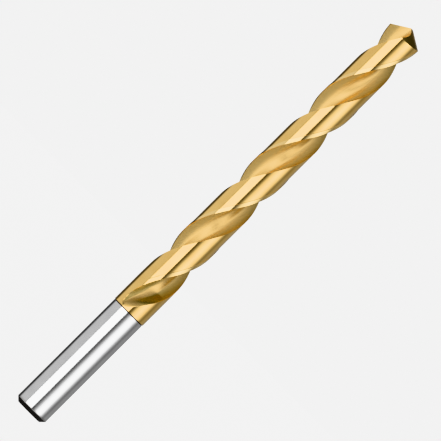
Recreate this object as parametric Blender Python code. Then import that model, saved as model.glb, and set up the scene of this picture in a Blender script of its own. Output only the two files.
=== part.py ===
"""Twist drill bit: a coated two-flute cutting body welded to a plain round steel shank.

Metres, +Z up. The origin is the centre of the shank's end face, and +Z runs along the
drill's axis to the point. The flutes are right-hand: they climb counterclockwise, seen
from the point, and cutting turns the drill the same way.

A section's columns run counterclockwise from a cutting corner: in along the rake face to
the flute's bottom, out along the heel side to the heel corner, over the land to the foot
of its margin, and along the margin to the other cutting corner. Then it repeats.
"""
from math import atan2, cos, hypot, pi, radians, sin, sqrt, tan

import bmesh
import bpy

# Driving dimensions
OVERALL_LENGTH = 0.124
CUTTING_DIAMETER = 0.009
SHANK_DIAMETER = 0.0088
SHANK_LENGTH = 0.0322
SHANK_CHAMFER = 0.001
WELD_GAP = 0.0003
FLUTE_END = 0.0326
RUNOUT_START = 0.0400
LEAD = 0.0443
POINT_ANGLE = radians(118)

# Section, with lengths in cutting radii and angles from the cutting corner
HALF_WEB = 0.15
LIP_INNER_END = 0.065
HEEL_ANGLE = radians(91.6)
HEEL_START_HANDLE = 0.20
HEEL_END_HANDLE = (-0.13, 0.62)
MARGIN_ANGLE = radians(13)
MARGIN_STEP_ANGLE = radians(1)
BODY_CLEARANCE = 0.00012
CLEARANCE_FADE = (0.040, 0.048)

# How the flute grows shallower and narrower towards the shank
FULL_DEPTH = 0.0038
WEB_TAPER = 0.012
OPENING_TAPER = 1.2
CLOSING_LENGTH = 0.011
END_BEFORE_HEEL = radians(21.7)
RUNOUT_CREASE = 0.06
RUNOUT_CORNER = 0.18

# Point: each flank is part of a cone whose apex lies beyond the axis and ahead of the lip
FLANK_CONE_ANGLE = radians(28)
FLANK_APEX_BEYOND = 1.9
FLANK_APEX_AHEAD = 0.2
CORNER_DIRECTION = radians(-1.3)

# Mesh steps
RAKE_STEPS = 8
HEEL_STEPS = RAKE_STEPS
LAND_STEPS = 14
MARGIN_STEPS = 3
CLOSING_ROWS = 20
CLOSING_SPACING = 1.6
BODY_ROWS = 44
SHANK_STEPS = 48
SHARP_ANGLE = radians(30)

RADIUS = CUTTING_DIAMETER / 2
FLUTE_STEPS = RAKE_STEPS + HEEL_STEPS
HALF_COLUMNS = FLUTE_STEPS + LAND_STEPS + 1 + MARGIN_STEPS
POINT_SLOPE = 1 / tan(POINT_ANGLE / 2)
TURN_PER_METRE = 2 * pi / LEAD
CORNER_LENGTH = sqrt(1 - HALF_WEB ** 2)
CORNER_HEIGHT = OVERALL_LENGTH - POINT_SLOPE * RADIUS * (CORNER_LENGTH - LIP_INNER_END)
LIP_DIRECTION = CORNER_DIRECTION - atan2(HALF_WEB, CORNER_LENGTH)


def clear_objects():
    for old in list(bpy.data.objects):
        bpy.data.objects.remove(old, do_unlink=True)


def metal(name, colour, roughness):
    """A Principled metal."""
    material = bpy.data.materials.new(name)
    material.use_nodes = True
    shader = material.node_tree.nodes["Principled BSDF"]
    shader.inputs["Base Color"].default_value = (*colour, 1)
    shader.inputs["Metallic"].default_value = 1
    shader.inputs["Roughness"].default_value = roughness
    material.diffuse_color = (*colour, 1)
    return material


def polar(radius, angle):
    return radius * cos(angle), radius * sin(angle)


def add_object(name, shape, material):
    """Turn a bmesh into a named object with smooth faces and sharp edges."""
    bmesh.ops.recalc_face_normals(shape, faces=shape.faces)
    mesh = bpy.data.meshes.new(name)
    shape.to_mesh(mesh)
    shape.free()
    mesh.materials.append(material)
    mesh.shade_smooth()
    mesh.set_sharp_from_angle(angle=SHARP_ANGLE)
    made = bpy.data.objects.new(name, mesh)
    bpy.context.collection.objects.link(made)
    return made


def rake_points():
    """The rake face from the corner inwards, as (radius, angle).

    The flute turns as the point climbs, so the face leans back by that turn and the lip
    comes out straight.
    """
    lean = POINT_SLOPE * RADIUS * TURN_PER_METRE
    points = []
    for step in range(RAKE_STEPS + 1):
        along = CORNER_LENGTH + (LIP_INNER_END - CORNER_LENGTH) * step / RAKE_STEPS
        radius = hypot(along, HALF_WEB)
        swing = atan2(HALF_WEB, along) - atan2(HALF_WEB, CORNER_LENGTH)
        points.append((radius, swing - lean * (1 - radius)))
    return points


def heel_points(before, start):
    """The heel side from the flute's bottom out to the heel corner, as (radius, angle).

    It is a cubic curve that leaves the bottom in the rake face's own direction.
    """
    x0, y0 = polar(*before)
    x1, y1 = polar(*start)
    stretch = HEEL_START_HANDLE / hypot(x1 - x0, y1 - y0)
    first = (x1 + (x1 - x0) * stretch, y1 + (y1 - y0) * stretch)
    controls = ((x1, y1), first, HEEL_END_HANDLE, polar(1, HEEL_ANGLE))
    points = []
    for step in range(1, HEEL_STEPS + 1):
        t = step / HEEL_STEPS
        weights = ((1 - t) ** 3, 3 * t * (1 - t) ** 2, 3 * t * t * (1 - t), t ** 3)
        x = sum(weight * point[0] for weight, point in zip(weights, controls))
        y = sum(weight * point[1] for weight, point in zip(weights, controls))
        points.append((hypot(x, y), atan2(y, x)))
    return points


def flute_outline():
    """Both sides of a flute at full depth."""
    rake = rake_points()
    return rake + heel_points(rake[-2], rake[-1])


FLUTE_OUTLINE = flute_outline()


def flute_depth(height):
    """The share of the full flute depth at a height: 1 at the point, 0 where it ends.

    The web thickens evenly down to the run-out, where the floor turns up in a straight ramp.
    """
    floor = 1 - WEB_TAPER * (OVERALL_LENGTH - height) / FULL_DEPTH
    ramp = (height - FLUTE_END) / (RUNOUT_START - FLUTE_END)
    ramp *= 1 - WEB_TAPER * (OVERALL_LENGTH - RUNOUT_START) / FULL_DEPTH
    return max(0.0, (floor + ramp - hypot(floor - ramp, RUNOUT_CREASE)) / 2)


def flute_angle(outline_angle, height):
    """Where an angle of the full outline comes at a height.

    The heel edge keeps the helix. The flute narrows from its other side towards the shank,
    and over its last stretch both sides close on its end along an ellipse.
    """
    back = (HEEL_ANGLE - outline_angle) * (1 - OPENING_TAPER * (OVERALL_LENGTH - height))
    left = max(0.0, 1 - (height - FLUTE_END) / CLOSING_LENGTH)
    closing = sqrt(1 - min(1.0, left) ** 2)
    return HEEL_ANGLE - END_BEFORE_HEEL - (back - END_BEFORE_HEEL) * closing


def runout_share(height):
    """How far into the run-out a height is: 0 above it, 1 where the flute ends."""
    return min(1.0, max(0.0, (RUNOUT_START - height) / (RUNOUT_START - FLUTE_END)))


def flute_place(index, height):
    """A flute column's (radius in cutting radii, angle) at a height.

    In the run-out the deepest line moves towards the rake side, and the floor rises from it
    evenly to the heel.
    """
    outline_radius, outline_angle = FLUTE_OUTLINE[index]
    if index < RAKE_STEPS:
        across = RUNOUT_CORNER * index / RAKE_STEPS
    else:
        across = RUNOUT_CORNER + (1 - RUNOUT_CORNER) * (index - RAKE_STEPS) / HEEL_STEPS
    keep = (1 - runout_share(height)) ** 2
    angle = HEEL_ANGLE * across + (outline_angle - HEEL_ANGLE * across) * keep
    return 1 - (1 - outline_radius) * flute_depth(height), flute_angle(angle, height)


def body_clearance(height):
    """How far the land lies under the margin. It fades out above the shank."""
    low, high = CLEARANCE_FADE
    share = min(1.0, max(0.0, (height - low) / (high - low)))
    return BODY_CLEARANCE * share * share * (3 - 2 * share)


def section_point(column, height):
    """A column's (x, y) at a height."""
    half, index = divmod(column, HALF_COLUMNS)
    clearance = body_clearance(height)
    next_corner = pi + flute_angle(0, height)
    heel_corner = flute_angle(HEEL_ANGLE, height)
    margin_start = next_corner - MARGIN_ANGLE
    if index <= FLUTE_STEPS:
        radius, angle = flute_place(index, height)
        heel_share = max(0.0, (index - RAKE_STEPS) / HEEL_STEPS)
        radius = RADIUS * radius - clearance * heel_share ** 2
    elif index <= FLUTE_STEPS + LAND_STEPS:
        share = (index - FLUTE_STEPS) / LAND_STEPS
        radius = RADIUS - clearance
        angle = heel_corner + (margin_start - heel_corner) * share
    else:
        share = (index - FLUTE_STEPS - LAND_STEPS - 1) / MARGIN_STEPS
        radius = RADIUS
        margin_edge = margin_start + MARGIN_STEP_ANGLE
        angle = margin_edge + (next_corner - margin_edge) * share
    turn = CORNER_DIRECTION + TURN_PER_METRE * (height - CORNER_HEIGHT)
    return polar(radius, angle + turn + pi * half)


def flank_height(x, y):
    """Height over (x, y) of the cone whose lip lies along +X, measured from its apex."""
    forward = x + FLANK_APEX_BEYOND * RADIUS
    side = y - FLANK_APEX_AHEAD * RADIUS
    tilt = POINT_ANGLE / 2 - FLANK_CONE_ANGLE
    axis_x, axis_z = sin(tilt), -cos(tilt)
    spread = cos(FLANK_CONE_ANGLE) ** 2
    a = axis_z ** 2 - spread
    b = 2 * axis_x * axis_z * forward
    c = (axis_x ** 2 - spread) * forward ** 2 - spread * side ** 2
    return (-b - sqrt(b * b - 4 * a * c)) / (2 * a)


def point_height(x, y):
    """Height of the point's surface: the lower of its two flanks, which meet in the chisel edge."""
    along = x * cos(LIP_DIRECTION) + y * sin(LIP_DIRECTION)
    across = y * cos(LIP_DIRECTION) - x * sin(LIP_DIRECTION)
    lower = min(flank_height(along, across), flank_height(-along, -across))
    return OVERALL_LENGTH + lower - flank_height(0, 0)


def column_top(column):
    """The height where a column meets the point's surface, by bisection."""
    low, high = OVERALL_LENGTH - CUTTING_DIAMETER, OVERALL_LENGTH
    for _ in range(40):
        middle = (low + high) / 2
        if middle < point_height(*section_point(column, middle)):
            low = middle
        else:
            high = middle
    return low


def column_heights(column):
    """Heights of a column's vertices, from just above the flute's end to the point."""
    top = column_top(column)
    closed = FLUTE_END + CLOSING_LENGTH
    heights = []
    for row in range(1, CLOSING_ROWS + 1):
        heights.append(FLUTE_END + CLOSING_LENGTH * (row / CLOSING_ROWS) ** CLOSING_SPACING)
    for row in range(1, BODY_ROWS + 1):
        heights.append(closed + (top - closed) * row / BODY_ROWS)
    return heights


def plain_ring(shape, height):
    """A full round ring. Each flute's columns are one vertex in it, where the flute ends."""
    ring = []
    for half in range(2):
        end = section_point(half * HALF_COLUMNS + FLUTE_STEPS, FLUTE_END)
        vertices = [shape.verts.new((*end, height))]
        for index in range(FLUTE_STEPS + 1, HALF_COLUMNS):
            place = section_point(half * HALF_COLUMNS + index, FLUTE_END)
            vertices.append(shape.verts.new((*place, height)))
        ring += [vertices[0]] * (FLUTE_STEPS + 1) + vertices[1:]
    return ring


def join_rings(shape, lower, upper):
    """Faces between two rings, leaving out repeated vertices."""
    for column in range(len(lower)):
        beside = (column + 1) % len(lower)
        corners = [lower[column], lower[beside], upper[beside], upper[column]]
        distinct = list(dict.fromkeys(corners))
        if len(distinct) > 2:
            shape.faces.new(distinct)


def blend_patch(arc, inner, lip, heel, u, v):
    """A point of the four-sided patch: u runs from the lip to the heel, v inwards."""
    count_u, count_v = len(arc) - 1, len(lip) - 1
    s, t = u / count_u, v / count_v
    place = []
    for axis in range(2):
        sides = (1 - t) * arc[u][axis] + t * inner[u][axis]
        ends = (1 - s) * lip[v][axis] + s * heel[v][axis]
        outer = (1 - s) * arc[0][axis] + s * arc[-1][axis]
        centre = (1 - s) * inner[0][axis] + s * inner[-1][axis]
        place.append(sides + ends - (1 - t) * outer - t * centre)
    return place


def cap_point(shape, tops):
    """Close the point with one patch for each flank, between lip, land, heel and chisel edge."""
    total = len(tops)
    bottoms = [tops[RAKE_STEPS], tops[HALF_COLUMNS + RAKE_STEPS]]
    arc_steps = HALF_COLUMNS - FLUTE_STEPS
    chisel = [bottoms[0]]
    for step in range(1, arc_steps):
        share = step / arc_steps
        x, y = bottoms[0].co.lerp(bottoms[1].co, share).xy
        chisel.append(shape.verts.new((x, y, point_height(x, y))))
    chisel.append(bottoms[1])
    for half in range(2):
        corner = half * HALF_COLUMNS
        arc = [tops[(corner - step) % total] for step in range(arc_steps + 1)]
        lip = [tops[corner + step] for step in range(RAKE_STEPS + 1)]
        heel = [tops[(corner - arc_steps - step) % total] for step in range(HEEL_STEPS + 1)]
        inner = chisel if half == 0 else chisel[::-1]
        sides = [[vertex.co for vertex in side] for side in (arc, inner, lip, heel)]
        rows = [arc]
        for v in range(1, RAKE_STEPS):
            row = [lip[v]]
            for u in range(1, arc_steps):
                x, y = blend_patch(*sides, u, v)
                row.append(shape.verts.new((x, y, point_height(x, y))))
            rows.append(row + [heel[v]])
        rows.append(inner)
        for outer_row, inner_row in zip(rows, rows[1:]):
            for u in range(arc_steps):
                shape.faces.new((outer_row[u], outer_row[u + 1], inner_row[u + 1], inner_row[u]))


def make_fluted_body():
    """The coated cutting body, from the weld to the point."""
    shape = bmesh.new()
    rings = [plain_ring(shape, SHANK_LENGTH + WELD_GAP), plain_ring(shape, FLUTE_END)]
    columns = []
    for column in range(2 * HALF_COLUMNS):
        heights = column_heights(column)
        places = [(*section_point(column, height), height) for height in heights]
        columns.append([shape.verts.new(place) for place in places])
    rings += [list(ring) for ring in zip(*columns)]
    shape.faces.new(list(dict.fromkeys(rings[0])))
    for lower, upper in zip(rings, rings[1:]):
        join_rings(shape, lower, upper)
    cap_point(shape, rings[-1])
    coating = metal("titanium_nitride_coating", (0.80, 0.56, 0.22), 0.28)
    return add_object("fluted_body", shape, coating)


def make_shank():
    """The bare ground shank, with a chamfer round its end face."""
    shape = bmesh.new()
    radius = SHANK_DIAMETER / 2
    profile = ((radius - SHANK_CHAMFER, 0), (radius, SHANK_CHAMFER), (radius, SHANK_LENGTH))
    rings = []
    for ring_radius, height in profile:
        angles = [2 * pi * step / SHANK_STEPS for step in range(SHANK_STEPS)]
        rings.append([shape.verts.new((*polar(ring_radius, angle), height)) for angle in angles])
    shape.faces.new(rings[0])
    shape.faces.new(rings[-1])
    for lower, upper in zip(rings, rings[1:]):
        join_rings(shape, lower, upper)
    return add_object("shank", shape, metal("ground_steel", (0.62, 0.62, 0.64), 0.25))


clear_objects()
make_fluted_body()
make_shank()
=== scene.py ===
"""Looks of a coated twist drill bit: fine meshes, metal finishes, floor, light and camera.

Metres, +Z up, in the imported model's frame: the drill stands on its shank's end face at
z = 0 and points up along +Z. The flutes are right-hand, and angles run counterclockwise
seen from the point.
"""
from math import atan2, cos, hypot, pi, radians, sin, sqrt, tan

import bmesh
import bpy
from mathutils import Matrix, Vector


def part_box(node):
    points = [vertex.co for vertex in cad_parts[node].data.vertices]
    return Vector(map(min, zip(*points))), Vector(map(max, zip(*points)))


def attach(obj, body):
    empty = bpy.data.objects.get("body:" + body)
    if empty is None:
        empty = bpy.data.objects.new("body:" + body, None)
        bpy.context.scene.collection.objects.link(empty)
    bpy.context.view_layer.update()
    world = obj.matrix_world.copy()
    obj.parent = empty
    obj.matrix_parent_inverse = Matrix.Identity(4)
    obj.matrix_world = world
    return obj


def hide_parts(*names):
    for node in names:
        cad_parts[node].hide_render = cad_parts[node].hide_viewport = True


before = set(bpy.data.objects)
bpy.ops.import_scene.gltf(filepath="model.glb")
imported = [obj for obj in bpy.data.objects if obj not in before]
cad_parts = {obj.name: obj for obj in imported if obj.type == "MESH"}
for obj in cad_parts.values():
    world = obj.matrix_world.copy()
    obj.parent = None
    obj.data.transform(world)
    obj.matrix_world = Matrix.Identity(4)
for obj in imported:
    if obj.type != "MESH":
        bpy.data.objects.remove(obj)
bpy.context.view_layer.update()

SHANK_LOW, SHANK_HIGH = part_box("shank")
BODY_LOW, BODY_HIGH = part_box("fluted_body")
OVERALL_LENGTH = BODY_HIGH.z
SHANK_LENGTH = SHANK_HIGH.z
RADIUS = (BODY_HIGH.x - BODY_LOW.x) / 2
SHANK_RADIUS = (SHANK_HIGH.x - SHANK_LOW.x) / 2

# The design's own sizes, as the solids have them
SHANK_CHAMFER = 0.001
FLUTE_END = 0.0326
RUNOUT_START = 0.0400
LEAD = 0.0443
POINT_ANGLE = radians(118)
HALF_WEB = 0.15
LIP_INNER_END = 0.065
HEEL_ANGLE = radians(91.6)
HEEL_START_HANDLE = 0.20
HEEL_END_HANDLE = (-0.13, 0.62)
MARGIN_ANGLE = radians(13)
MARGIN_STEP_ANGLE = radians(1)
BODY_CLEARANCE = 0.00012
CLEARANCE_FADE = (0.040, 0.048)
FULL_DEPTH = 0.0038
WEB_TAPER = 0.012
OPENING_TAPER = 1.2
CLOSING_LENGTH = 0.011
END_BEFORE_HEEL = radians(21.7)
RUNOUT_CREASE = 0.06
RUNOUT_CORNER = 0.18
FLANK_CONE_ANGLE = radians(28)
FLANK_APEX_BEYOND = 1.9
FLANK_APEX_AHEAD = 0.2
CORNER_DIRECTION = radians(-1.3)

# The weld: a fine groove round the drill, with a dark stain above it
GROOVE_DEPTH = 0.00012
GROOVE_FLOOR = 0.00002
GROOVE_SHOULDER = 0.00006
WELD_STAIN = 0.00012

# How far the shank's edges are broken
EDGE_BREAK = 0.00004

# Mesh steps
RAKE_STEPS = 34
HEEL_STEPS = RAKE_STEPS
LAND_STEPS = 46
MARGIN_STEPS = 10
CLOSING_ROWS = 90
CLOSING_SPACING = 1.6
BODY_ROWS = 230
SHANK_STEPS = 192
CHAMFER_BANDS = 3
SHARP_ANGLE = radians(30)

FLUTE_STEPS = RAKE_STEPS + HEEL_STEPS
HALF_COLUMNS = FLUTE_STEPS + LAND_STEPS + 1 + MARGIN_STEPS
POINT_SLOPE = 1 / tan(POINT_ANGLE / 2)
TURN_PER_METRE = 2 * pi / LEAD
CORNER_LENGTH = sqrt(1 - HALF_WEB ** 2)
CORNER_HEIGHT = OVERALL_LENGTH - POINT_SLOPE * RADIUS * (CORNER_LENGTH - LIP_INNER_END)
LIP_DIRECTION = CORNER_DIRECTION - atan2(HALF_WEB, CORNER_LENGTH)

# View: the drill lies across the frame from lower left to upper right
FRAME_WIDTH = 0.101
LENS = 800
SENSOR = 36
TILT_IN_FRAME = radians(44.9)


def polar(radius, angle):
    return radius * cos(angle), radius * sin(angle)


# Fluted body


def rake_points():
    """The rake face from the corner inwards, as (radius, angle)."""
    lean = POINT_SLOPE * RADIUS * TURN_PER_METRE
    points = []
    for step in range(RAKE_STEPS + 1):
        along = CORNER_LENGTH + (LIP_INNER_END - CORNER_LENGTH) * step / RAKE_STEPS
        radius = hypot(along, HALF_WEB)
        swing = atan2(HALF_WEB, along) - atan2(HALF_WEB, CORNER_LENGTH)
        points.append((radius, swing - lean * (1 - radius)))
    return points


def heel_points(before, start):
    """The heel side from the flute's bottom out to the heel corner, as (radius, angle)."""
    x0, y0 = polar(*before)
    x1, y1 = polar(*start)
    stretch = HEEL_START_HANDLE / hypot(x1 - x0, y1 - y0)
    first = (x1 + (x1 - x0) * stretch, y1 + (y1 - y0) * stretch)
    controls = ((x1, y1), first, HEEL_END_HANDLE, polar(1, HEEL_ANGLE))
    points = []
    for step in range(1, HEEL_STEPS + 1):
        t = step / HEEL_STEPS
        weights = ((1 - t) ** 3, 3 * t * (1 - t) ** 2, 3 * t * t * (1 - t), t ** 3)
        x = sum(weight * point[0] for weight, point in zip(weights, controls))
        y = sum(weight * point[1] for weight, point in zip(weights, controls))
        points.append((hypot(x, y), atan2(y, x)))
    return points


def flute_outline():
    """Both sides of a flute at full depth."""
    rake = rake_points()
    return rake + heel_points(rake[-2], rake[-1])


FLUTE_OUTLINE = flute_outline()


def flute_depth(height):
    """The share of the full flute depth at a height: 1 at the point, 0 where it ends.

    The web thickens evenly down to the run-out, where the floor turns up in a straight ramp.
    """
    floor = 1 - WEB_TAPER * (OVERALL_LENGTH - height) / FULL_DEPTH
    ramp = (height - FLUTE_END) / (RUNOUT_START - FLUTE_END)
    ramp *= 1 - WEB_TAPER * (OVERALL_LENGTH - RUNOUT_START) / FULL_DEPTH
    return max(0.0, (floor + ramp - hypot(floor - ramp, RUNOUT_CREASE)) / 2)


def flute_angle(outline_angle, height):
    """Where an angle of the full outline comes at a height.

    The heel edge keeps the helix. The flute narrows from its other side towards the shank,
    and over its last stretch both sides close on its end along an ellipse.
    """
    back = (HEEL_ANGLE - outline_angle) * (1 - OPENING_TAPER * (OVERALL_LENGTH - height))
    left = max(0.0, 1 - (height - FLUTE_END) / CLOSING_LENGTH)
    closing = sqrt(1 - min(1.0, left) ** 2)
    return HEEL_ANGLE - END_BEFORE_HEEL - (back - END_BEFORE_HEEL) * closing


def runout_share(height):
    """How far into the run-out a height is: 0 above it, 1 where the flute ends."""
    return min(1.0, max(0.0, (RUNOUT_START - height) / (RUNOUT_START - FLUTE_END)))


def flute_place(index, height):
    """A flute column's (radius in cutting radii, angle) at a height.

    In the run-out the deepest line moves towards the rake side, and the floor rises from it
    evenly to the heel.
    """
    outline_radius, outline_angle = FLUTE_OUTLINE[index]
    if index < RAKE_STEPS:
        across = RUNOUT_CORNER * index / RAKE_STEPS
    else:
        across = RUNOUT_CORNER + (1 - RUNOUT_CORNER) * (index - RAKE_STEPS) / HEEL_STEPS
    keep = (1 - runout_share(height)) ** 2
    angle = HEEL_ANGLE * across + (outline_angle - HEEL_ANGLE * across) * keep
    return 1 - (1 - outline_radius) * flute_depth(height), flute_angle(angle, height)


def body_clearance(height):
    """How far the land lies under the margin. It fades out above the shank."""
    low, high = CLEARANCE_FADE
    share = min(1.0, max(0.0, (height - low) / (high - low)))
    return BODY_CLEARANCE * share * share * (3 - 2 * share)


def section_point(column, height):
    """A column's (x, y) at a height."""
    half, index = divmod(column, HALF_COLUMNS)
    clearance = body_clearance(height)
    next_corner = pi + flute_angle(0, height)
    heel_corner = flute_angle(HEEL_ANGLE, height)
    margin_start = next_corner - MARGIN_ANGLE
    if index <= FLUTE_STEPS:
        radius, angle = flute_place(index, height)
        heel_share = max(0.0, (index - RAKE_STEPS) / HEEL_STEPS)
        radius = RADIUS * radius - clearance * heel_share ** 2
    elif index <= FLUTE_STEPS + LAND_STEPS:
        share = (index - FLUTE_STEPS) / LAND_STEPS
        radius = RADIUS - clearance
        angle = heel_corner + (margin_start - heel_corner) * share
    else:
        share = (index - FLUTE_STEPS - LAND_STEPS - 1) / MARGIN_STEPS
        radius = RADIUS
        margin_edge = margin_start + MARGIN_STEP_ANGLE
        angle = margin_edge + (next_corner - margin_edge) * share
    turn = CORNER_DIRECTION + TURN_PER_METRE * (height - CORNER_HEIGHT)
    return polar(radius, angle + turn + pi * half)


def flank_height(x, y):
    """Height over (x, y) of the cone whose lip lies along +X, measured from its apex."""
    forward = x + FLANK_APEX_BEYOND * RADIUS
    side = y - FLANK_APEX_AHEAD * RADIUS
    tilt = POINT_ANGLE / 2 - FLANK_CONE_ANGLE
    axis_x, axis_z = sin(tilt), -cos(tilt)
    spread = cos(FLANK_CONE_ANGLE) ** 2
    a = axis_z ** 2 - spread
    b = 2 * axis_x * axis_z * forward
    c = (axis_x ** 2 - spread) * forward ** 2 - spread * side ** 2
    return (-b - sqrt(b * b - 4 * a * c)) / (2 * a)


def point_height(x, y):
    """Height of the point's surface: the lower of its two flanks."""
    along = x * cos(LIP_DIRECTION) + y * sin(LIP_DIRECTION)
    across = y * cos(LIP_DIRECTION) - x * sin(LIP_DIRECTION)
    lower = min(flank_height(along, across), flank_height(-along, -across))
    return OVERALL_LENGTH + lower - flank_height(0, 0)


def column_top(column):
    """The height where a column meets the point's surface, by bisection."""
    low, high = OVERALL_LENGTH - 2 * RADIUS, OVERALL_LENGTH
    for _ in range(40):
        middle = (low + high) / 2
        if middle < point_height(*section_point(column, middle)):
            low = middle
        else:
            high = middle
    return low


def column_heights(column):
    """Heights of a column's vertices, from just above the flute's end to the point."""
    top = column_top(column)
    closed = FLUTE_END + CLOSING_LENGTH
    heights = []
    for row in range(1, CLOSING_ROWS + 1):
        heights.append(FLUTE_END + CLOSING_LENGTH * (row / CLOSING_ROWS) ** CLOSING_SPACING)
    for row in range(1, BODY_ROWS + 1):
        heights.append(closed + (top - closed) * row / BODY_ROWS)
    return heights


def plain_ring(shape, height, inset=0.0):
    """A full round ring. Each flute's columns are one vertex in it, where the flute ends."""
    scale = 1 - inset / RADIUS
    ring = []
    for half in range(2):
        vertices = []
        for index in range(FLUTE_STEPS, HALF_COLUMNS):
            x, y = section_point(half * HALF_COLUMNS + index, FLUTE_END)
            vertices.append(shape.verts.new((x * scale, y * scale, height)))
        ring += [vertices[0]] * FLUTE_STEPS + vertices
    return ring


def join_rings(shape, lower, upper):
    """Faces between two rings, leaving out repeated vertices."""
    faces = []
    for column in range(len(lower)):
        beside = (column + 1) % len(lower)
        corners = [lower[column], lower[beside], upper[beside], upper[column]]
        distinct = list(dict.fromkeys(corners))
        if len(distinct) > 2:
            faces.append(shape.faces.new(distinct))
    return faces


def blend_patch(arc, inner, lip, heel, u, v):
    """A point of the four-sided patch: u runs from the lip to the heel, v inwards."""
    count_u, count_v = len(arc) - 1, len(lip) - 1
    s, t = u / count_u, v / count_v
    place = []
    for axis in range(2):
        sides = (1 - t) * arc[u][axis] + t * inner[u][axis]
        ends = (1 - s) * lip[v][axis] + s * heel[v][axis]
        outer = (1 - s) * arc[0][axis] + s * arc[-1][axis]
        centre = (1 - s) * inner[0][axis] + s * inner[-1][axis]
        place.append(sides + ends - (1 - t) * outer - t * centre)
    return place


def cap_point(shape, tops):
    """Close the point with one patch for each flank, between lip, land, heel and chisel edge."""
    total = len(tops)
    bottoms = [tops[RAKE_STEPS], tops[HALF_COLUMNS + RAKE_STEPS]]
    arc_steps = HALF_COLUMNS - FLUTE_STEPS
    chisel = [bottoms[0]]
    for step in range(1, arc_steps):
        share = step / arc_steps
        x, y = bottoms[0].co.lerp(bottoms[1].co, share).xy
        chisel.append(shape.verts.new((x, y, point_height(x, y))))
    chisel.append(bottoms[1])
    for half in range(2):
        corner = half * HALF_COLUMNS
        arc = [tops[(corner - step) % total] for step in range(arc_steps + 1)]
        lip = [tops[corner + step] for step in range(RAKE_STEPS + 1)]
        heel = [tops[(corner - arc_steps - step) % total] for step in range(HEEL_STEPS + 1)]
        inner = chisel if half == 0 else chisel[::-1]
        sides = [[vertex.co for vertex in side] for side in (arc, inner, lip, heel)]
        rows = [arc]
        for v in range(1, RAKE_STEPS):
            row = [lip[v]]
            for u in range(1, arc_steps):
                x, y = blend_patch(*sides, u, v)
                row.append(shape.verts.new((x, y, point_height(x, y))))
            rows.append(row + [heel[v]])
        rows.append(inner)
        for outer_row, inner_row in zip(rows, rows[1:]):
            for u in range(arc_steps):
                shape.faces.new((outer_row[u], outer_row[u + 1], inner_row[u + 1], inner_row[u]))


def add_piece(name, shape, *materials):
    """Turn a bmesh into a smooth-shaded object."""
    bmesh.ops.recalc_face_normals(shape, faces=shape.faces)
    mesh = bpy.data.meshes.new(name)
    shape.to_mesh(mesh)
    shape.free()
    for material in materials:
        mesh.materials.append(material)
    mesh.shade_smooth()
    mesh.set_sharp_from_angle(angle=SHARP_ANGLE)
    made = bpy.data.objects.new(name, mesh)
    bpy.context.collection.objects.link(made)
    return made


def make_cutting_body(coating):
    """The coated cutting body, from the weld to the point."""
    shape = bmesh.new()
    shoulder = SHANK_LENGTH + GROOVE_SHOULDER
    rings = [
        plain_ring(shape, SHANK_LENGTH + GROOVE_FLOOR, inset=GROOVE_DEPTH * 2),
        plain_ring(shape, shoulder, inset=GROOVE_DEPTH),
        plain_ring(shape, shoulder + GROOVE_DEPTH),
        plain_ring(shape, FLUTE_END),
    ]
    columns = []
    for column in range(2 * HALF_COLUMNS):
        heights = column_heights(column)
        places = [(*section_point(column, height), height) for height in heights]
        columns.append([shape.verts.new(place) for place in places])
    rings += [list(ring) for ring in zip(*columns)]
    shape.faces.new(list(dict.fromkeys(rings[0])))
    for lower, upper in zip(rings, rings[1:]):
        join_rings(shape, lower, upper)
    cap_point(shape, rings[-1])
    return add_piece("cutting_body", shape, coating)


def make_ground_shank(steel, oxide):
    """The bare shank, with a blackened chamfer and end face."""
    face_radius = SHANK_RADIUS - SHANK_CHAMFER
    profile = (
        (face_radius - EDGE_BREAK, 0.0),
        (face_radius, EDGE_BREAK / 2),
        (SHANK_RADIUS - EDGE_BREAK, SHANK_CHAMFER - EDGE_BREAK),
        (SHANK_RADIUS, SHANK_CHAMFER + EDGE_BREAK),
        (SHANK_RADIUS, SHANK_CHAMFER + 3 * EDGE_BREAK),
        (SHANK_RADIUS, SHANK_LENGTH - 4 * EDGE_BREAK),
        (SHANK_RADIUS, SHANK_LENGTH - 2 * EDGE_BREAK),
        (SHANK_RADIUS - 2 * EDGE_BREAK, SHANK_LENGTH),
    )
    shape = bmesh.new()
    rings = []
    for radius, height in profile:
        angles = [2 * pi * step / SHANK_STEPS for step in range(SHANK_STEPS)]
        rings.append([shape.verts.new((*polar(radius, angle), height)) for angle in angles])
    end_face = shape.faces.new(rings[0])
    shape.faces.new(rings[-1])
    blackened = [end_face]
    for row, (lower, upper) in enumerate(zip(rings, rings[1:])):
        band = join_rings(shape, lower, upper)
        if row < CHAMFER_BANDS:
            blackened += band
    for face in blackened:
        face.material_index = 1
    return add_piece("ground_shank", shape, steel, oxide)


# Materials: colours are linear (r, g, b), and lengths are in metres

LAND_GOLD = ((0.87, 0.575, 0.21), (0.92, 0.635, 0.245))
FLUTE_GOLD = ((0.82, 0.555, 0.215), (0.95, 0.665, 0.275))
# Painted shade: darker browns for the flute walls above the run-out and for the run-out's steep
# walls, standing in for the shade in the flutes' hollows
FLUTE_WALL_SHADE = (0.60, 0.435, 0.17)
RUNOUT_SHADE = (0.42, 0.31, 0.10)
# Worn margins, also made paler as a painted highlight along each margin
WORN_HIGHLIGHT_GOLD = (0.95, 0.70, 0.32)
WELD_BROWN = (0.06, 0.035, 0.012)
STEEL = ((0.61, 0.61, 0.615), (0.66, 0.66, 0.662))
HEAT_TINTED_STEEL = (0.40, 0.39, 0.38)
OXIDE = ((0.012, 0.0115, 0.011), (0.030, 0.029, 0.028))
RUBBED_OXIDE = (0.10, 0.10, 0.10)
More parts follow.
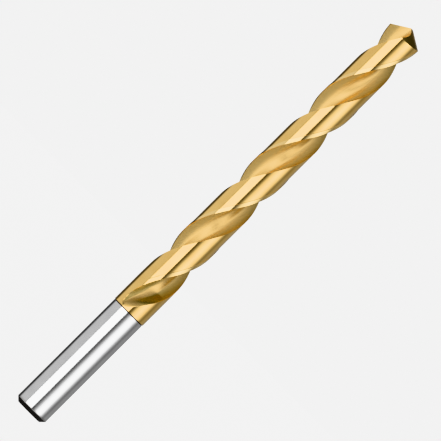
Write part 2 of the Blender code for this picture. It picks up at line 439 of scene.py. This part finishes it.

# Where one finish turns into another, by radius or height, and for the last two by how far
# the surface faces up and out. The flute walls', run-out's and steep walls' edges also bound
# the painted shade in the flutes
LAND_EDGE = (RADIUS - BODY_CLEARANCE - 0.00009, RADIUS - BODY_CLEARANCE - 0.00003)
MARGIN_EDGE = (RADIUS - 0.00004, RADIUS - 0.00001)
FLUTE_WALL_EDGE = (0.38 * RADIUS, 0.70 * RADIUS)
RUNOUT_EDGE = (0.038, 0.050)
STAIN_EDGE = (SHANK_LENGTH + WELD_STAIN, SHANK_LENGTH + 2 * WELD_STAIN)
HEAT_TINT_EDGE = (SHANK_CHAMFER, SHANK_CHAMFER + 0.0006)
RUBBED_EDGE = (SHANK_RADIUS - 0.00009, SHANK_RADIUS)
FLANK_TILT = (0.35, 0.55)
STEEP_WALL = (0.95, 0.7)

# How fine the marks are, over what span their colour changes, and how deep their bump is
CLOUDS_PER_METRE = 260.0
STEEL_CLOUDS_PER_METRE = 300.0
OXIDE_GRAIN_PER_METRE = 2400.0
RINGS_PER_METRE = 5200.0
HELIX_MARKS_SCALE = 14.0
CLOUD_SPAN = (0.35, 0.65)
MARK_SPAN = (0.3, 0.7)
COATING_BUMP = 0.0000012
STEEL_BUMP = 0.0000006
OXIDE_BUMP = 0.000004

# Each varied roughness is a base and how much its marks add
FLUTE_ROUGHNESS = (0.26, 0.16)
LAND_ROUGHNESS = (0.08, 0.06)
STEEL_ROUGHNESS = (0.09, 0.07)
OXIDE_ROUGHNESS = (0.5, 0.2)
OXIDE_SPECULAR = 0.2
FLANK_ROUGHNESS = 0.26
SATIN_ABOVE_RUNOUT = 0.08
SATIN_ON_WALLS = 0.14
STEEL_CLOUD_ROUGHNESS = 0.04

# How much of a flute wall's finish is matt and not metallic
MATT_WALL_SHARE = 0.65


class Nodes:
    """Adds and links nodes in one tree."""

    def __init__(self, tree):
        self.tree = tree

    def add(self, kind, inputs=None, **settings):
        node = self.tree.nodes.new(kind)
        for name, value in settings.items():
            setattr(node, name, value)
        for name, value in (inputs or {}).items():
            if isinstance(value, bpy.types.NodeSocket):
                self.tree.links.new(value, node.inputs[name])
            else:
                node.inputs[name].default_value = value
        return node

    def math(self, operation, first, second=0.0, third=0.0):
        values = {0: first, 1: second, 2: third}
        return self.add("ShaderNodeMath", values, operation=operation).outputs[0]

    def ramp(self, value, span, colours):
        """The first colour where the value is under the span, the second where it is over."""
        node = self.add("ShaderNodeValToRGB", {"Fac": value})
        for element, place, colour in zip(node.color_ramp.elements, span, colours):
            element.position = place
            element.color = (*colour, 1)
        return node.outputs["Color"]


def new_material(name):
    """A node material with its Principled shader, cleared for a metal."""
    material = bpy.data.materials.new(name)
    material.use_nodes = True
    nodes = Nodes(material.node_tree)
    shader = material.node_tree.nodes["Principled BSDF"]
    shader.inputs["Metallic"].default_value = 1
    return material, nodes, shader


class DrillCoordinates:
    """Places on the drill for its materials: height, radius, and the angle across a flute."""

    def __init__(self, nodes):
        coordinates = nodes.add("ShaderNodeTexCoord")
        self.place = coordinates.outputs["Object"]
        x, y, self.height = nodes.add("ShaderNodeSeparateXYZ", {"Vector": self.place}).outputs
        square = nodes.math("ADD", nodes.math("MULTIPLY", x, x), nodes.math("MULTIPLY", y, y))
        self.radius = nodes.math("SQRT", square)
        angle = nodes.math("ARCTAN2", y, x)
        across = nodes.math("MULTIPLY_ADD", self.height, -TURN_PER_METRE, angle)
        self.along_helix = nodes.add("ShaderNodeCombineXYZ", {
            "X": nodes.math("COSINE", across),
            "Y": nodes.math("SINE", across),
            "Z": nodes.math("MULTIPLY", self.radius, 1 / RADIUS),
        }).outputs[0]
        normal = nodes.add("ShaderNodeSeparateXYZ", {"Vector": coordinates.outputs["Normal"]})
        normal_x, normal_y, self.facing_up = normal.outputs
        outward = nodes.math("MULTIPLY_ADD", normal_x, x, nodes.math("MULTIPLY", normal_y, y))
        self.facing_out = nodes.math("DIVIDE", outward, self.radius)


def fade(nodes, value, low, high):
    """0 where a value is under low, 1 over high, smooth between."""
    return nodes.add("ShaderNodeMapRange", {
        "Value": value, "From Min": low, "From Max": high,
    }, interpolation_type="SMOOTHSTEP").outputs["Result"]


def blend(nodes, share, first, second):
    """A colour between two, each a socket or an (r, g, b)."""
    colours = [c if isinstance(c, bpy.types.NodeSocket) else (*c, 1) for c in (first, second)]
    node = nodes.add("ShaderNodeMix", {0: share, 6: colours[0], 7: colours[1]}, data_type="RGBA")
    return node.outputs[2]


def ring_marks(nodes, drill, per_metre):
    """Fine marks round the axis, left by cylindrical grinding."""
    return nodes.add("ShaderNodeTexNoise", {
        "W": drill.height, "Scale": per_metre, "Detail": 3.0,
    }, noise_dimensions="1D").outputs["Fac"]


def helix_marks(nodes, drill, scale):
    """Fine marks that run along the flutes, left by the flute-grinding wheel."""
    return nodes.add("ShaderNodeTexNoise", {
        "Vector": drill.along_helix, "Scale": scale, "Detail": 4.0,
    }).outputs["Fac"]


def patches(nodes, drill, per_metre):
    """Slow, cloudy change over the surface."""
    return nodes.add("ShaderNodeTexNoise", {
        "Vector": drill.place, "Scale": per_metre, "Detail": 4.0,
    }).outputs["Fac"]


def varied(nodes, marks, roughness):
    """A roughness that marks add to."""
    base, extra = roughness
    return nodes.math("MULTIPLY_ADD", marks, extra, base)


def set_bump(nodes, shader, height, depth):
    bump = nodes.add("ShaderNodeBump", {"Height": height, "Strength": 1.0, "Distance": depth})
    nodes.tree.links.new(bump.outputs["Normal"], shader.inputs["Normal"])


def nitride_coating():
    """Gold titanium nitride over ground steel.

    The lands are bright, the flutes satin with part-matt walls darkened by painted shade, and
    the margins worn and paler as a painted highlight.
    """
    material, nodes, shader = new_material("titanium_nitride")
    drill = DrillCoordinates(nodes)
    clouds = patches(nodes, drill, CLOUDS_PER_METRE)
    helix = helix_marks(nodes, drill, HELIX_MARKS_SCALE)
    rings = ring_marks(nodes, drill, RINGS_PER_METRE)

    land = fade(nodes, drill.radius, *LAND_EDGE)
    margin = fade(nodes, drill.radius, *MARGIN_EDGE)
    above_step = fade(nodes, drill.height, *CLEARANCE_FADE)
    # Wear and painted highlight: the margins above the clearance step get a paler gold, standing
    # in for the bright line they reflect
    worn_highlight = nodes.math("MULTIPLY", margin, above_step)
    flank = fade(nodes, drill.facing_up, *FLANK_TILT)

    land_colour = nodes.ramp(clouds, CLOUD_SPAN, LAND_GOLD)
    flute_colour = nodes.ramp(helix, MARK_SPAN, FLUTE_GOLD)
    # Painted shade: the flute walls out past 0.38 to 0.70 of the radius above the run-out, and
    # the steep walls in the run-out, are darkened towards brown
    wall = fade(nodes, drill.radius, *FLUTE_WALL_EDGE)
    above_runout = fade(nodes, drill.height, *RUNOUT_EDGE)
    steep = fade(nodes, drill.facing_out, *STEEP_WALL)
    wall_shade_and_matt = nodes.add("ShaderNodeMix", {0: above_runout, 2: steep, 3: wall}).outputs[0]
    wall_shade_colour = blend(nodes, above_runout, RUNOUT_SHADE, FLUTE_WALL_SHADE)
    flute_colour = blend(nodes, wall_shade_and_matt, flute_colour, wall_shade_colour)
    colour = blend(nodes, land, flute_colour, land_colour)
    colour = blend(nodes, worn_highlight, colour, WORN_HIGHLIGHT_GOLD)
    past_weld = fade(nodes, drill.height, *STAIN_EDGE)
    colour = blend(nodes, past_weld, WELD_BROWN, colour)
    nodes.tree.links.new(colour, shader.inputs["Base Color"])

    in_flute = nodes.math("SUBTRACT", 1.0, nodes.math("MAXIMUM", land, flank))
    # The same painted-shade mask also makes the flute walls part matt
    matt = nodes.math("MULTIPLY", wall_shade_and_matt, in_flute)
    metallic = nodes.math("MULTIPLY_ADD", matt, -MATT_WALL_SHARE, 1.0)
    nodes.tree.links.new(metallic, shader.inputs["Metallic"])

    satin = nodes.math("MULTIPLY", above_runout, SATIN_ABOVE_RUNOUT)
    wall_above_runout = nodes.math("MULTIPLY", wall, above_runout)
    satin = nodes.math("MULTIPLY_ADD", wall_above_runout, SATIN_ON_WALLS, satin)
    flute_rough = nodes.math("ADD", varied(nodes, helix, FLUTE_ROUGHNESS), satin)
    land_rough = varied(nodes, rings, LAND_ROUGHNESS)
    rough = nodes.add("ShaderNodeMix", {0: land, 2: flute_rough, 3: land_rough}).outputs[0]
    rough = nodes.add("ShaderNodeMix", {0: flank, 2: rough, 3: FLANK_ROUGHNESS}).outputs[0]
    nodes.tree.links.new(rough, shader.inputs["Roughness"])

    marks = nodes.add("ShaderNodeMix", {0: land, 2: helix, 3: rings}).outputs[0]
    set_bump(nodes, shader, marks, COATING_BUMP)
    return material


def ground_steel():
    """Bare steel, ground round and round."""
    material, nodes, shader = new_material("ground_steel")
    drill = DrillCoordinates(nodes)
    clouds = patches(nodes, drill, STEEL_CLOUDS_PER_METRE)
    rings = ring_marks(nodes, drill, RINGS_PER_METRE)
    base = nodes.ramp(clouds, CLOUD_SPAN, STEEL)
    past_tint = fade(nodes, drill.height, *HEAT_TINT_EDGE)
    base = blend(nodes, past_tint, HEAT_TINTED_STEEL, base)
    nodes.tree.links.new(base, shader.inputs["Base Color"])
    rough = varied(nodes, rings, STEEL_ROUGHNESS)
    rough = nodes.math("MULTIPLY_ADD", clouds, STEEL_CLOUD_ROUGHNESS, rough)
    nodes.tree.links.new(rough, shader.inputs["Roughness"])
    set_bump(nodes, shader, rings, STEEL_BUMP)
    return material


def black_oxide():
    """The dark scale left on the chamfer and end face, rubbed at its outer edge."""
    material, nodes, shader = new_material("black_oxide")
    drill = DrillCoordinates(nodes)
    grain = patches(nodes, drill, OXIDE_GRAIN_PER_METRE)
    rubbed = fade(nodes, drill.radius, *RUBBED_EDGE)
    base = blend(nodes, rubbed, nodes.ramp(grain, MARK_SPAN, OXIDE), RUBBED_OXIDE)
    nodes.tree.links.new(base, shader.inputs["Base Color"])
    shader.inputs["Metallic"].default_value = 0
    shader.inputs["Specular IOR Level"].default_value = OXIDE_SPECULAR
    nodes.tree.links.new(varied(nodes, grain, OXIDE_ROUGHNESS), shader.inputs["Roughness"])
    set_bump(nodes, shader, grain, OXIDE_BUMP)
    return material


# Light, floor and camera

# Soft panels that the metal reflects. Angles are in degrees: azimuth runs round the drill from
# straight towards the camera, positive on the +X side, tilt is the height over the horizon of
# a panel's middle, and soft is the width of its side edges. Panels that overlap add up.
PANELS = {
    "key": dict(azimuth=-28, width=48, soft=6, tilt=0, height=14, level=3.1),
    "fill": dict(azimuth=50, width=40, soft=60, tilt=0, height=14, level=3.0),
    "left wall": dict(azimuth=-88, width=70, soft=20, tilt=0, height=60, level=0.75),
    "right wall": dict(azimuth=125, width=60, soft=60, tilt=0, height=60, level=0.36),
    "back wall": dict(azimuth=180, width=40, soft=40, tilt=0, height=50, level=0.4),
    "upper box": dict(azimuth=15, width=130, soft=50, tilt=20, height=22, level=1.1),
    "lower box": dict(azimuth=-30, width=130, soft=60, tilt=-29, height=40, level=1.2),
    "ceiling": dict(azimuth=10, width=130, soft=40, tilt=56, height=48, level=0.35),
    "floor": dict(azimuth=80, width=120, soft=60, tilt=-50, height=70, level=0.4),
}
ROOM_LEVEL = 0.07
TOP_SOFT = 14
BACKDROP = 1.09

# The floor glows at close to the backdrop's level, so that no edge shows between them
FLOOR_HALF_WIDTH = 6
FLOOR_GLOW = 1.07
FLOOR_GREY = 0.02


def panel_share(nodes, angle, middle, width, soft):
    """How far an angle is inside a panel: 1 inside it, 0 outside, smooth at its edges."""
    offset = nodes.math("SUBTRACT", angle, radians(middle))
    around = nodes.math("ABSOLUTE", nodes.math("WRAP", offset, pi, -pi))
    return fade(nodes, around, radians(width + soft) / 2, radians(width - soft) / 2)


def make_world():
    """A pale backdrop for the camera, and a studio of soft panels for the metal to reflect."""
    world = bpy.data.worlds.new("studio")
    bpy.context.scene.world = world
    world.use_nodes = True
    nodes = Nodes(world.node_tree)
    direction = nodes.add("ShaderNodeTexCoord").outputs["Generated"]
    x, y, z = nodes.add("ShaderNodeSeparateXYZ", {"Vector": direction}).outputs
    azimuth = nodes.math("ARCTAN2", x, nodes.math("MULTIPLY", y, -1.0))
    elevation = nodes.math("ARCSINE", z)
    level = ROOM_LEVEL
    for panel in PANELS.values():
        around = panel_share(nodes, azimuth, panel["azimuth"], panel["width"], panel["soft"])
        upright = panel_share(nodes, elevation, panel["tilt"], panel["height"], TOP_SOFT)
        share = nodes.math("MULTIPLY", around, upright)
        level = nodes.math("MULTIPLY_ADD", share, panel["level"], level)
    background = world.node_tree.nodes["Background"]
    background.inputs["Color"].default_value = (1, 1, 1, 1)
    nodes.tree.links.new(level, background.inputs["Strength"])
    backdrop = nodes.add("ShaderNodeBackground", {"Color": (1, 1, 1, 1), "Strength": BACKDROP})
    shown = nodes.add("ShaderNodeLightPath").outputs["Is Camera Ray"]
    mix = nodes.add("ShaderNodeMixShader", {
        0: shown, 1: background.outputs[0], 2: backdrop.outputs[0],
    })
    output = world.node_tree.nodes["World Output"]
    nodes.tree.links.new(mix.outputs[0], output.inputs["Surface"])


def make_floor():
    """A plain pale floor at the drill's foot."""
    shape = bmesh.new()
    bmesh.ops.create_grid(shape, x_segments=1, y_segments=1, size=FLOOR_HALF_WIDTH)
    mesh = bpy.data.meshes.new("floor")
    shape.to_mesh(mesh)
    shape.free()
    floor = bpy.data.objects.new("floor", mesh)
    bpy.context.collection.objects.link(floor)
    floor.visible_glossy = False
    material, _, shader = new_material("pale_floor")
    shader.inputs["Metallic"].default_value = 0
    shader.inputs["Roughness"].default_value = 1
    shader.inputs["Base Color"].default_value = (FLOOR_GREY, FLOOR_GREY, FLOOR_GREY, 1)
    shader.inputs["Emission Color"].default_value = (1, 1, 1, 1)
    shader.inputs["Emission Strength"].default_value = FLOOR_GLOW
    mesh.materials.append(material)


def make_camera():
    """Square to the drill's axis and far off, rolled so that the point is at the upper right."""
    across = Vector((1, 0, 0))
    along = Vector((0, 0, 1))
    right = along * cos(TILT_IN_FRAME) + across * sin(TILT_IN_FRAME)
    up = along * sin(TILT_IN_FRAME) - across * cos(TILT_IN_FRAME)
    back = right.cross(up)
    distance = FRAME_WIDTH * LENS / SENSOR
    data = bpy.data.cameras.new("camera")
    data.lens = LENS
    data.sensor_width = SENSOR
    camera = bpy.data.objects.new("camera", data)
    bpy.context.collection.objects.link(camera)
    place = Vector((0, 0, OVERALL_LENGTH / 2)) + back * distance
    turn = Matrix((right, up, back)).transposed().to_4x4()
    camera.matrix_world = Matrix.Translation(place) @ turn
    bpy.context.scene.camera = camera


bpy.context.scene.view_settings.view_transform = "Khronos PBR Neutral"
make_world()
make_floor()
make_camera()

cutting_body = make_cutting_body(nitride_coating())
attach(cutting_body, "root")
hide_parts("fluted_body")

ground_shank = make_ground_shank(ground_steel(), black_oxide())
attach(ground_shank, "root")
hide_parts("shank")
